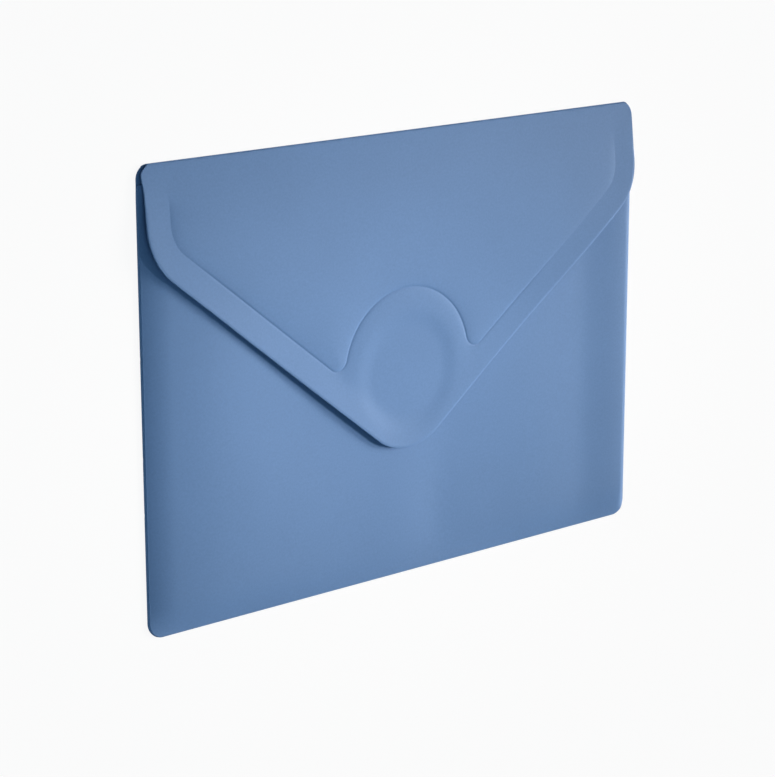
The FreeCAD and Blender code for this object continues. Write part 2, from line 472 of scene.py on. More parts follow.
    def front_under(self, x: Array, drop: Array) -> Array:
        """Height of the front panel's underside in its plain form, which carries the closure.

        The sheet and the seam gap, plus the pillow rise times a roll-off at the sides and the
        bottom and times a share. The share grows from the mouth down, is small under the
        closure and rises to 1 along a crest near either side.

        Args:
            x: The places' x.
            drop: The places' drops.

        Returns:
            The heights.
        """
        side = rolled(self.half_width - self.weld_width - np.abs(x), self.side_roll)
        bottom = rolled(self.bottom_start - drop, self.bottom_roll)
        mouth = smooth_step((drop - self.mouth_drop) / (self.full_drop - self.mouth_drop))
        held = self.held_radius
        across = smooth_step((np.abs(x) - held) / (self.half_width - self.crest_inset - held))
        low = self.height - self.bottom_roll - self.dish_drop - held
        down = smooth_step((drop - self.dish_drop - held) / low)
        dip = self.closure_share + (self.bottom_share - self.closure_share) * down
        share = (self.mouth_share + (1 - self.mouth_share) * mouth) * (dip + (1 - dip) * across)
        return self.sheet + self.seam_gap + self.pillow_rise * side * bottom * share

    def edge_distance(self, x: Array, drop: Array) -> Array:
        """Distance inside the flap's edge.

        It is taken from the side or the slant, whichever is nearer, and at the shoulder and
        the tip from their arcs: the radius less the way from the centre.

        Args:
            x: The places' x.
            drop: The places' drops.

        Returns:
            The distances, below 0 outside the edge.
        """
        sine, cosine = self.slope
        across = np.abs(x)
        shoulder_x, shoulder_drop = self.shoulder
        side = self.flap_half - across
        slant = self.slant_reach - sine * across - cosine * drop
        dx, dy = across - shoulder_x, drop - shoulder_drop
        shoulder = self.shoulder_radius - np.hypot(dx, dy)
        tip = self.tip_radius - np.hypot(across, drop - self.tip_centre)
        inside = np.minimum(side, slant)
        at_shoulder = (dy > 0) & (dx * cosine - dy * sine > 0)
        at_tip = across * cosine - (drop - self.tip_centre) * sine < 0
        inside = np.where(at_shoulder, shoulder, inside)
        return np.where(at_tip & (drop > self.tip_centre), tip, inside)

    def groove_distance(self, x: Array, drop: Array) -> Array:
        """Distance from the groove, above 0 on the inner panel.

        The panel is what lies deeper than the inset and outside the ring, so the distance is
        the smaller of those two, and between slant and ring what is left of the small turn's
        radius.

        Args:
            x: The places' x.
            drop: The places' drops.

        Returns:
            The distances.
        """
        sine, cosine = self.slope
        across = np.abs(x)
        deep = self.edge_distance(x, drop) - self.groove_inset
        out = np.hypot(across, drop - self.ring_drop) - self.ring_radius
        centre_x, centre_drop = self.valley
        dx, dy = across - centre_x, drop - centre_drop
        past_slant = dx * cosine - dy * sine < 0
        ring_x, ring_y = -centre_x, self.ring_drop - centre_drop
        past_ring = dx * ring_y - dy * ring_x > 0
        turn = self.valley_radius - np.hypot(dx, dy)
        return np.where(past_slant & past_ring, turn, np.minimum(deep, out))

    def closure_level(self) -> float:
        """Height of the flap's underside over the front, both dots and the gap between."""
        front = float(self.front_under(np.array(0.0), np.array(self.dish_drop)))
        return front + self.sheet + 2 * self.dot_thickness + self.dot_gap

    def flap_under(self, x: Array, drop: Array) -> Array:
        """Height of the flap's underside without its pressed relief.

        The fold's level, plus a ramp that nears the closure's level as 1 - e^(-drop), plus a
        wing that grows with x^2 and a squared sine of the drop, higher on the right, plus a
        flare of the border outside the groove, less the dish, an S-curve of the way from its
        middle. The ramp starts softly. The flare's slope differs between left and right, and
        steepens on the left towards the tip.

        Args:
            x: The places' x.
            drop: The places' drops.

        Returns:
            The heights.
        """
        past = np.maximum(drop - self.fold_drop, 0.0)
        soft = past * past / (past + self.ramp_softness)
        root = 2 * self.fold_radius - self.sheet
        climb = self.closure_level() + self.dish_depth - root
        ramp = climb * (1 - np.exp(-soft / self.ramp_length))
        out = np.minimum(np.abs(x) / self.flap_half, 1.0) ** 2
        swell = np.sin(math.pi * np.clip(past / self.wing_reach, 0.0, 1.0)) ** 2
        rise = np.where(x < 0, self.left_wing_rise, self.wing_rise)
        wing = rise * out * (1 + self.wing_ease - self.wing_ease * out) * swell
        band = soft_positive(self.groove_inset - self.edge_distance(x, drop), self.flare_softness)
        right = self.rightness(x)
        low = smooth_step((drop - self.tip_flare_drop) / self.tip_flare_fade)
        slope = self.right_flare * right + (self.left_flare + self.tip_flare * low) * (1 - right)
        flare = slope * band * (1 - np.exp(-soft / self.flare_start))
        away = np.hypot(x, drop - self.dish_drop)
        dish = self.dish_depth * (1 - smooth_step((away - self.dish_radius) / self.dish_edge + 0.5))
        return root + ramp + wing + flare - dish

    def flap_relief(self, x: Array, drop: Array) -> Array:
        """What pressing adds to the flap's height.

        The panel inside the groove stands highest. Towards the groove it falls in a steep and
        a wide shoulder, each a fall times e^(-distance), and the border outside stays at that
        level. Inside the ring the lobe rises again as 1 - e^(-distance), less and less towards
        the tip. A narrow bell sinks the crease itself, which starts further down on the right.
        The cut edge is drawn down as the square of what is left of its reach. All of it fades
        in below the fold.

        Args:
            x: The places' x.
            drop: The places' drops.

        Returns:
            What is added to the heights.
        """
        inside = self.groove_distance(x, drop)
        fade = smooth_step((drop - self.groove_start) / self.groove_fade)
        within, beyond = np.maximum(inside, 0.0), np.maximum(-inside, 0.0)
        right = self.rightness(x)
        wide = self.left_fall + (self.right_fall - self.left_fall) * right
        panel = (self.steep_fall * np.exp(-within / self.steep_reach)
                 + wide * np.exp(-within / self.wide_reach))
        out = np.hypot(x, drop - self.ring_drop) - self.ring_radius
        in_ring = 1 - smooth_step((out + self.lobe_edge / 2) / self.lobe_edge)
        upper = smooth_step((self.lobe_end - drop) / self.lobe_fade) * in_ring
        lobe = self.lobe_rise * upper * (1 - np.exp(-beyond / self.lobe_reach))
        below_start = drop - self.crease_start - self.crease_delay * right
        start = smooth_step(below_start / self.crease_fade)
        crease = self.crease_depth * start * bell(inside, self.crease_spread)
        to_go = 1 - np.clip(self.edge_distance(x, drop) / self.edge_reach, 0.0, 1.0)
        turned = (self.left_round + (self.right_round - self.left_round) * right) * to_go ** 2
        return fade * (self.panel_lift + lobe - panel - crease - turned)

    def flap_top(self, x: Array, drop: Array) -> Array:
        """Height of the flap's outer face."""
        return self.flap_under(x, drop) + self.sheet + self.flap_relief(x, drop)


# --------------------------------------------------------------------------------- the finishes


@dataclass(frozen=True)
class SatinSheet:
    """Satin polypropylene sheet with a fine grain."""

    name: str = "satin blue sheet"
    colour: tuple[float, float, float] = (0.150, 0.268, 0.495)
    mottle: float = 0.09
    mottle_scale: float = 900.0
    cloud_scale: float = 22.0
    cloud_share: float = 0.5
    mottle_detail: float = 2.0
    roughness: float = 0.58
    specular: float = 0.12
    grain_scale: float = 2600.0
    grain_detail: float = 3.0
    grain_strength: float = 0.09
    grain_height: float = 0.0001

    def make(self) -> bpy.types.Material:
        """Makes the finish: a slightly mottled colour, satin gloss and a fine bump.

        Returns:
            The material.
        """
        material = bpy.data.materials.new(self.name)
        material.use_nodes = True
        tree = material.node_tree
        shader = tree.nodes["Principled BSDF"]
        shader.inputs["Roughness"].default_value = self.roughness
        shader.inputs["Specular IOR Level"].default_value = self.specular
        place = tree.nodes.new("ShaderNodeTexCoord")
        speck = noise_node(tree, place, self.mottle_scale, self.mottle_detail).outputs["Fac"]
        cloud = noise_node(tree, place, self.cloud_scale, self.mottle_detail).outputs["Fac"]
        both = math_node(tree, "MULTIPLY_ADD", cloud, self.cloud_share, speck)
        darkest = 1 - (1 + self.cloud_share) * self.mottle
        shade = math_node(tree, "MULTIPLY_ADD", both, 2 * self.mottle, darkest)
        scale = tree.nodes.new("ShaderNodeVectorMath")
        scale.operation = "SCALE"
        scale.inputs[0].default_value = self.colour
        tree.links.new(shade, scale.inputs["Scale"])
        tree.links.new(scale.outputs["Vector"], shader.inputs["Base Color"])
        grain = noise_node(tree, place, self.grain_scale, self.grain_detail)
        bump = tree.nodes.new("ShaderNodeBump")
        bump.inputs["Strength"].default_value = self.grain_strength
        bump.inputs["Distance"].default_value = self.grain_height
        tree.links.new(grain.outputs["Fac"], bump.inputs["Height"])
        tree.links.new(bump.outputs["Normal"], shader.inputs["Normal"])
        return material


@dataclass(frozen=True)
class Nylon:
    """Off-white nylon of the closure, brushed or moulded."""

    name: str
    colour: tuple[float, float, float]
    roughness: float = 0.6
    sheen: float = 0.0

    def make(self) -> bpy.types.Material:
        """Makes the finish: an even colour with soft gloss and, on a pile, some sheen.

        Returns:
            The material.
        """
        material = bpy.data.materials.new(self.name)
        material.use_nodes = True
        shader = material.node_tree.nodes["Principled BSDF"]
        shader.inputs["Base Color"].default_value = (*self.colour, 1.0)
        shader.inputs["Roughness"].default_value = self.roughness
        shader.inputs["Sheen Weight"].default_value = self.sheen
        return material


def noise_node(tree: bpy.types.NodeTree, place: bpy.types.Node, scale: float,
               detail: float) -> bpy.types.Node:
    """A noise texture on object coordinates.

    Args:
        tree: The material's node tree.
        place: Its texture coordinate node.
        scale: The noise's scale, in waves a metre.
        detail: How many finer layers it has.

    Returns:
        The noise node.
    """
    node = tree.nodes.new("ShaderNodeTexNoise")
    node.inputs["Scale"].default_value = scale
    node.inputs["Detail"].default_value = detail
    tree.links.new(place.outputs["Object"], node.inputs["Vector"])
    return node


def math_node(tree: bpy.types.NodeTree, operation: str, *values: object) -> bpy.types.NodeSocket:
    """A math node whose inputs are numbers or linked sockets.

    Args:
        tree: The material's node tree.
        operation: Blender's name of the operation.
        values: A number or a socket for each input.

    Returns:
        The node's output socket.
    """
    node = tree.nodes.new("ShaderNodeMath")
    node.operation = operation
    for socket, value in zip(node.inputs, values):
        if isinstance(value, bpy.types.NodeSocket):
            tree.links.new(value, socket)
        else:
            socket.default_value = value
    return node.outputs[0]


def seen_directly(tree: bpy.types.NodeTree) -> bpy.types.NodeSocket:
    """Tells rays that look at a surface from rays that gather light.

    Args:
        tree: The node tree.

    Returns:
        A socket that is 1 on rays from the camera, a gloss or glass, and 0 on the rest.
    """
    ray = tree.nodes.new("ShaderNodeLightPath").outputs
    looked_at = math_node(tree, "ADD", ray["Is Camera Ray"], ray["Is Glossy Ray"])
    return math_node(tree, "ADD", looked_at, ray["Is Transmission Ray"])


def mix_to_output(tree: bpy.types.NodeTree, share: bpy.types.NodeSocket, first: bpy.types.Node,
                  second: bpy.types.Node, output: str) -> None:
    """Mixes two shaders and sends them to the output.

    Args:
        tree: The node tree.
        share: The second shader's share.
        first: The node of the first shader.
        second: The node of the second shader.
        output: The name of the output node.
    """
    mix = tree.nodes.new("ShaderNodeMixShader")
    tree.links.new(share, mix.inputs["Fac"])
    tree.links.new(first.outputs[0], mix.inputs[1])
    tree.links.new(second.outputs[0], mix.inputs[2])
    tree.links.new(mix.outputs["Shader"], tree.nodes[output].inputs["Surface"])


# ----------------------------------------------------------------------------------- the pieces


@dataclass
class FlapSheet:
    """The flap and the back of its fold, one sheet that runs round the top fold."""

    form: WalletForm
    finish: bpy.types.Material
    name: str = "flap_sheet"
    root_drop: float = 9.0
    rim: float = 0.28

    # Where the rows of points lie beside the groove and inside the edge
    groove_rows: tuple[float, ...] = (0.22, 0.45, 0.7, 1.0, 1.4, 1.9, 2.5, 3.2, 4.0, 5.0)
    edge_rows: tuple[float, ...] = (3.0, 2.3, 1.7, 1.2, 0.8, 0.5)

    # The number of steps along each stretch, and the share of the edge's last stretch that the
    # steps of the small turn take
    rim_steps: int = 6
    root_steps: int = 8
    fold_steps: int = 12
    side_steps: int = 13
    shoulder_steps: int = 14
    slant_steps: int = 58
    turn_steps: int = 14
    ring_steps: int = 54
    fan_steps: int = 36
    turn_share: float = 0.62

    def groove_path(self) -> tuple[Array, Array]:
        """The groove in plan: down the left side, round shoulder and turn, and over the ring.

        Returns:
            The points from the left root to the right one, and their normals away from the
            panel.
        """
        form = self.form
        sine, cosine = form.slope
        shoulder_x, shoulder_drop = form.shoulder
        valley_x, valley_drop = form.valley
        slant_turn = 90.0 + form.flap_angle
        ring_turn = math.degrees(math.atan2(form.ring_drop - valley_drop, valley_x))
        side_x = form.groove_inset - form.flap_half
        side = line_path((side_x, self.root_drop), (side_x, shoulder_drop), (-1.0, 0.0),
                         np.linspace(0, 1, self.side_steps + 1))
        shoulder = arc_path((-shoulder_x, shoulder_drop), form.shoulder_radius - form.groove_inset,
                            180.0, slant_turn, self.shoulder_steps)
        valley = arc_path((-valley_x, valley_drop), form.valley_radius, slant_turn, ring_turn,
                          self.turn_steps)
        slant = line_path(shoulder[0][-1], valley[0][0], (-sine, cosine),
                          np.linspace(0, 1, self.slant_steps + 1))
        ring = arc_path((0.0, form.ring_drop), form.ring_radius, 180.0 + ring_turn, 270.0,
                        self.ring_steps, inwards=True)
        points, normals = joined(side, shoulder, slant, valley, ring)
        normals[-1] = (0.0, 1.0)
        return mirrored(points), mirrored(normals)

    def edge_path(self, groove: Array, normals: Array) -> tuple[Array, Array]:
        """The flap's edge in plan, a point for each point of the groove.

        Args:
            groove: The groove's points.
            normals: The groove's normals.

        Returns:
            The points straight across from the groove along the sides and slants, then evenly
            spaced round the tip, and their outward normals.
        """
        form = self.form
        sine, cosine = form.slope
        along = self.side_steps + self.shoulder_steps + self.slant_steps
        band = groove[:along + 1] + form.groove_inset * normals[:along + 1]
        start = band[-1]
        tip_start = np.array([-sine, cosine]) * form.tip_radius + np.array([0.0, form.tip_centre])
        straight = float(np.hypot(*(tip_start - start)))
        turn = math.radians(90.0 - form.flap_angle)
        length = straight + (math.pi / 2 - turn) * form.tip_radius
        middle = self.turn_share * length
        way = graded([0.0, middle, length], [self.turn_steps, self.ring_steps])[1:]
        share = np.clip(way / straight, 0.0, 1.0)[:, None]
        flat = start + share * (tip_start - start)
        round_tip = np.clip(way - straight, 0.0, None) / form.tip_radius
        angle = math.radians(90.0 + form.flap_angle) - round_tip
        spoke = np.stack([np.cos(angle), np.sin(angle)], axis=1)
        arc = np.array([0.0, form.tip_centre]) + form.tip_radius * spoke
        on_arc = (way > straight)[:, None]
        rest = np.where(on_arc, arc, flat)
        rest_normal = np.where(on_arc, spoke, np.array([-sine, cosine]))
        points = np.concatenate([band, rest])
        outward = np.concatenate([normals[:along + 1], rest_normal])
        points[-1, 0] = 0.0
        outward[-1] = (0.0, 1.0)
        return mirrored(points), mirrored(outward)

    def border_plan(self) -> tuple[Array, Array, Array]:
        """The border in plan, a column for each point of the groove.

        Returns:
            The rows from inside the groove out to the rim's start, the edge and its normals.
        """
        groove, normal = self.groove_path()
        edge, outward = self.edge_path(groove, normal)
        near = np.array(self.groove_rows)
        offsets = np.concatenate([[-self.form.valley_radius], -near[::-1], [0.0], near])
        inner = groove[None] + offsets[:, None, None] * normal[None]
        fan_start = inner[-1]
        depths = np.array([*self.edge_rows, self.rim])
        outer = edge[None] - depths[:, None, None] * outward[None]
        share = np.linspace(0, 1, self.fan_steps + 1)[1:-1]
        fan = fan_start[None] + share[:, None, None] * (outer[0] - fan_start)[None]
        return np.concatenate([inner, fan, outer]), edge, outward

    def core_plan(self, border: Array) -> Array:
        """The inner panel in plan, a patch stretched between its four sides.

        Each point is the sum of the ruled surfaces between opposite sides less the one
        between the four corners.

        Args:
            border: The innermost row of the border.

        Returns:
            Rows from the top fold's side down to the ring.
        """
        corner = self.side_steps + self.shoulder_steps + self.slant_steps
        left = border[:corner + 1]
        right = border[::-1][:corner + 1]
        past_turn = corner + self.turn_steps
        bottom = border[past_turn:len(border) - past_turn]
        across = np.linspace(0, 1, len(bottom))[:, None]
        top = left[0] + across * (right[0] - left[0])
        steps = np.hypot(*np.diff(left, axis=0).T)
        down = (np.concatenate([[0.0], np.cumsum(steps)]) / steps.sum())[:, None, None]
        u = across[None]
        ruled_down = (1 - down) * top[None] + down * bottom[None]
        ruled_across = (1 - u) * left[:, None] + u * right[:, None]
        corners = ((1 - down) * ((1 - u) * left[0] + u * right[0])
                   + down * ((1 - u) * left[-1] + u * right[-1]))
        return ruled_down + ruled_across - corners

    def faces_of(self, plan: Array) -> tuple[Array, Array]:
        """The flap's two faces.

        Args:
            plan: A grid in plan.

        Returns:
            The points of the outer face and those of the underside.
        """
        form = self.form
        x, drop = plan[..., 0], plan[..., 1]
        top = form.flap_top(x, drop)
        x = form.set_in(x, drop)
        return form.place(x, drop, top), form.place(x, drop, top - form.sheet)

    def rim_rows(self, border: Array, edge: Array, outward: Array) -> Array:
        """The rounded rim, half a flattened round carried along the edge.

        Args:
            border: The last row of the border.
            edge: The edge's points.
            outward: The edge's normals.

        Returns:
            Rows from the outer face round to the underside.
        """
        form = self.form
        middle = form.flap_top(border[:, 0], border[:, 1]) - form.sheet / 2
        turn = half_turn(self.rim_steps)[:, None]
        out = self.rim * (np.cos(turn) - 1)
        plan = edge[None] + out[..., None] * outward[None]
        x = form.set_in(plan[..., 0], plan[..., 1])
        return form.place(x, plan[..., 1], middle + form.sheet / 2 * np.sin(turn))

    def fold_section(self, border: Array, core: Array) -> Array:
        """The sheet's closed cross-section along the fold, x and the height in the sheet.

        Args:
            border: The border's plan.
            core: The inner panel's plan.

        Returns:
            Points from left to right on the outer face, round the right rim and back.
        """
        form = self.form
        across = np.concatenate([border[::-1, 0, 0], core[0, 1:-1, 0], border[:, -1, 0]])
        half = form.sheet / 2
        turn = half_turn(self.rim_steps)[1:-1]
        rim_x = form.flap_half - self.rim + self.rim * np.cos(turn)
        rim_z = half * np.sin(turn)
        top = np.stack([across, np.full_like(across, half)], axis=1)
        right = np.stack([rim_x, rim_z], axis=1)
        under = np.stack([across[::-1], np.full_like(across, -half)], axis=1)
        left = np.stack([-rim_x, -rim_z], axis=1)
        return np.concatenate([top, right, under, left])

    def drawn_in(self, x: Array, half: Array) -> Array:
        """The section at another width: scaled between its rims, which keep their size.

        Args:
            x: The section's x.
            half: The half width asked for.

        Returns:
            The new x.
        """
        straight = self.form.flap_half - self.rim
        inner = np.clip(np.abs(x), None, straight)
        return np.sign(x) * (inner * (half - self.rim) / straight + np.abs(x) - inner)

    def root_rows(self, x: Array, lift: Array) -> Array:
        """The first stretch of the fold: it levels out from the flap's root to the half tube.

        Args:
            x: The section's x.
            lift: The section's height in the sheet.

        Returns:
            Rows of the section, from the root to the fold's axis.
        """
        form = self.form
        drops = np.linspace(self.root_drop, form.fold_drop, self.root_steps + 1)
        half = form.half_at(drops, form.flap_inset)[:, None]
        ease = smooth_step((drops - form.fold_drop) / (self.root_drop - form.fold_drop))[:, None]
        drops = drops[:, None]
        scaled = self.drawn_in(x, half)
        held = np.sign(x) * np.minimum(np.abs(scaled), half)
        level = 2 * form.fold_radius - form.sheet / 2
        middle = form.flap_top(held, drops) - form.sheet / 2
        middle = level + (middle - level) * ease
        root_x = np.sign(x) * np.minimum(np.abs(x), form.flap_half - self.rim)
        root = form.flap_top(root_x, np.full_like(x, self.root_drop)) - form.sheet / 2
        middle = np.concatenate([root, middle[1:]])
        return form.place(form.set_in(scaled, drops), drops, middle + lift)

    def fold_rows(self, section: Array) -> Array:
        """The fold: the section carried from the flap's root and round the half tube.

        Args:
            section: The closed cross-section.

        Returns:
            Rows of the section, from the root to the joint on the back.
        """
        form = self.form
        x, lift = section[None, :, 0], section[None, :, 1]
        turn = half_turn(self.fold_steps)[1:, None]
        radius = form.fold_radius - form.sheet / 2
        share = (math.pi / 2 - turn) / math.pi
        drop = form.fold_drop - (radius + lift) * np.cos(turn)
        z = form.fold_radius + (radius + lift) * np.sin(turn)
        centre_drop = form.fold_drop - radius * np.cos(turn)
        half = form.half_at(np.maximum(centre_drop, 0.0), form.flap_inset)
        around = self.drawn_in(x, half + share * form.flap_inset)
        return np.concatenate([self.root_rows(x, lift), form.place(around, drop, z)])

    def build(self) -> bpy.types.Object:
        """Builds the flap and its fold as one closed sheet.

        Returns:
            The piece.
        """
        border, edge, outward = self.border_plan()
        core = self.core_plan(border[0])
        skin = Skin()
        for plan in (border, core):
            for face in self.faces_of(plan):
                skin.add_grid(face)
        skin.add_grid(self.rim_rows(border[-1], edge, outward))
        section = self.fold_section(border, core)
        rows = self.fold_rows(section)
        start = skin.add_grid(rows, close_columns=True)
        # The sheet's end at the joint on the back: a strip between its faces, and two rim ends.
        last = start + (len(rows) - 1) * len(section)
        rim_points = self.rim_steps - 1
        count = len(section) // 2 - rim_points
        top = last + np.arange(count)
        under = last + count + rim_points + np.arange(count)[::-1]
        skin.faces.append(strip_faces(top, under))
        skin.add_polygon(range(top[-1], under[-1] + 1))
        skin.add_polygon([*range(under[0], last + len(section)), top[0]])
        piece = skin.build(self.name)
        piece.data.materials.append(self.finish)
        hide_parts("flap")
        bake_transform(piece)
        return piece


@dataclass
class PocketSheet:
    """The back and front panels, one sheet folded at the bottom."""

    form: WalletForm
    finish: bpy.types.Material
    name: str = "pocket_sheet"
    side_inset: float = 0.55

    # The front's relaxed shape
    valley_shift: float = 24.0
    shift_length: float = 55.0
    edge_width: float = 0.8
    full_drop: float = 58.0
    narrow_roll: float = 16.0
    wide_roll: float = 40.0
    narrow_share: float = 0.5
    low_share: float = 0.22
    left_crest: float = 34.0
    left_power: float = 1.9
    left_drop: float = 0.15
    left_length: float = 80.0
    right_roll: float = 7.0
    right_reach: float = 85.0
    right_start: float = 42.0
    right_length: float = 34.0
    right_share: float = 0.5
    dip_depth: float = 0.9
    dip_place: float = 24.0
    dip_spread: float = 12.0

    # Strips where the points lie closer together, and the number of steps in each
    roll_strip: float = 24.0
    seam_strip: float = 2.5
    mouth_strip: float = 4.0
    corner_margin: float = 1.0
    column_steps: tuple[int, ...] = (52, 30, 5)
    back_steps: tuple[int, ...] = (12, 24, 14)
    front_steps: tuple[int, ...] = (26, 76, 5)
    mouth_steps: int = 6
    fold_steps: int = 8

    def front_top(self, x: Array, drop: Array) -> Array:
        """Height of the front panel's outer face.

        It is made as the plain form is, from a roll-off at the sides and the bottom and a
        share that rises from the closure to a crest on either side, but relaxed as thin sheet
        is. The left side rolls off in a narrow and a wide part, its crest is low and its rise
        drawn out. The right side rolls off sharply, and its rise is half near the closure and
        half close to the seam. Below the closure the valley moves to the right, and a bell of
        a dip lies in it.

        Args:
            x: The places' x.
            drop: The places' drops.

        Returns:
            The heights.
        """
        form = self.form
        inside = form.half_width - self.edge_width - np.abs(x)
        narrow, wide = (rolled(inside, reach) for reach in (self.narrow_roll, self.wide_roll))
        left = self.narrow_share * narrow + (1 - self.narrow_share) * wide
        left = left * (1 - self.left_drop * smooth_step(-x / self.left_length))
        side = np.where(x > 0, rolled(inside, self.right_roll), left)
        bottom = rolled(form.bottom_start - drop, form.bottom_roll)
        mouth = smooth_step((drop - form.mouth_drop) / (self.full_drop - form.mouth_drop))
        held = form.held_radius
        low = smooth_step((drop - form.dish_drop - held) / self.shift_length)
        away = x - self.valley_shift * low * (1 - (x / form.half_width) ** 2) ** 2
        left_reach = form.half_width - self.left_crest - held
        left_rise = smooth_step((-away - held) / left_reach) ** self.left_power
        near_rise = smooth_step((away - held) / self.right_reach)
        far_rise = smooth_step((x - form.half_width + self.right_start) / self.right_length)
        right_rise = (1 - self.right_share) * near_rise + self.right_share * far_rise
        across = np.where(away > 0, right_rise, left_rise)
        down = smooth_step((drop - form.dish_drop - held)
                           / (form.height - form.bottom_roll - form.dish_drop - held))
        dip = form.closure_share + (self.low_share - form.closure_share) * down
        share = (form.mouth_share + (1 - form.mouth_share) * mouth) * (dip + (1 - dip) * across)
        share = share * (1 - self.dip_depth * low * bell(x - self.dip_place, self.dip_spread))
        return 2 * form.sheet + form.seam_gap + form.pillow_rise * side * bottom * share

    def columns(self) -> Array:
        """The places of the columns, close together where the sides roll off.

        Returns:
            Shares of the half width, from -1 to 1.
        """
        reach = self.form.half_width
        stops = [0.0, reach - self.roll_strip, reach - self.seam_strip, reach]
        half = graded(stops, self.column_steps) / reach
        return np.concatenate([-half[:0:-1], half])

    def rows(self) -> tuple[Array, Array, Array, Array]:
        """The sheet's path down the back, round the bottom and up the front.

        Returns:
            For the outside and the inside in turn: the drops, and a height where the path has
            one of its own. A height that is not a number stands for the front panel's.
        """
        form = self.form
        radius, end = form.bottom_radius, form.bottom_start
        top_end = form.top_corner + self.corner_margin
        corner_start = form.height - form.bottom_corner - self.corner_margin
        back = graded([form.fold_drop, top_end, corner_start, end], self.back_steps)
        turn = -half_turn(self.fold_steps)[1:-1]
        mouth_start = form.mouth_drop + self.mouth_strip
        mouth_end = form.mouth_drop + form.sheet / 2
        front = graded([end, end - self.roll_strip, mouth_start, mouth_end], self.front_steps)
        blank = np.full_like(front, np.nan)
        outer = np.concatenate([back, end + radius * np.cos(turn), front])
        outer_z = np.concatenate([np.zeros_like(back), radius * (1 + np.sin(turn)), blank])
        inner_radius = radius - form.sheet
        inner = np.concatenate([back, end + inner_radius * np.cos(turn), front])
        inner_z = np.concatenate([np.full_like(back, form.sheet),
                                  radius + inner_radius * np.sin(turn), blank])
        return outer, outer_z, inner, inner_z

    def face_points(self, x: Array, drops: Array, heights: Array, lowered: float) -> Array:
        """One face of the sheet.

        Args:
            x: The points' x, a row for each drop.
            drops: The rows' drops.
            heights: The rows' own heights, or not a number where the front panel's counts.
            lowered: How far the face lies below the front panel's outer one.

        Returns:
            The face's points.
        """
        drop, z = drops[:, None], heights[:, None]
        front = self.front_top(x, drop) - lowered
        return self.form.place(x, drop, np.where(np.isnan(z), front, z))

    def build(self) -> bpy.types.Object:
        """Builds the folded sheet with its rounded mouth edge.

        Returns:
            The piece.
        """
        form = self.form
        share = self.columns()
        outer, outer_z, inner, inner_z = self.rows()
        half = form.half_at(outer, self.side_inset)[:, None]
        x = half * share[None]
        outside = self.face_points(x, outer, outer_z, 0.0)
        inside = self.face_points(x, inner, inner_z, form.sheet)
        turn = half_turn(self.mouth_steps)[1:-1, None]
        radius = form.sheet / 2
        drop = form.mouth_drop + radius * (1 - np.cos(turn))
        mid = self.front_top(x[-1:], np.array([[form.mouth_drop + radius]])) - radius
        mouth = form.place(x[-1:], drop, mid + radius * np.sin(turn))
        loop = np.concatenate([outside, mouth, inside[::-1]])
        skin = Skin()
        start = skin.add_grid(loop)
        width, total, rows = len(share), len(loop), len(outside)
        # The cut sides: a strip between the faces from the back to the mouth, and the rim's end.
        for column in (0, width - 1):
            out = start + np.arange(rows) * width + column
            back = start + (total - 1 - np.arange(rows)) * width + column
            skin.faces.append(strip_faces(out, back))
            skin.add_polygon(range(out[-1], back[-1] + 1, width))
        first = start + np.arange(width)
        skin.faces.append(strip_faces(first, first + (total - 1) * width))
        piece = skin.build(self.name)
        piece.data.materials.append(self.finish)
        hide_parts("pocket")
        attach(piece, Body.POCKET.value)
        return piece


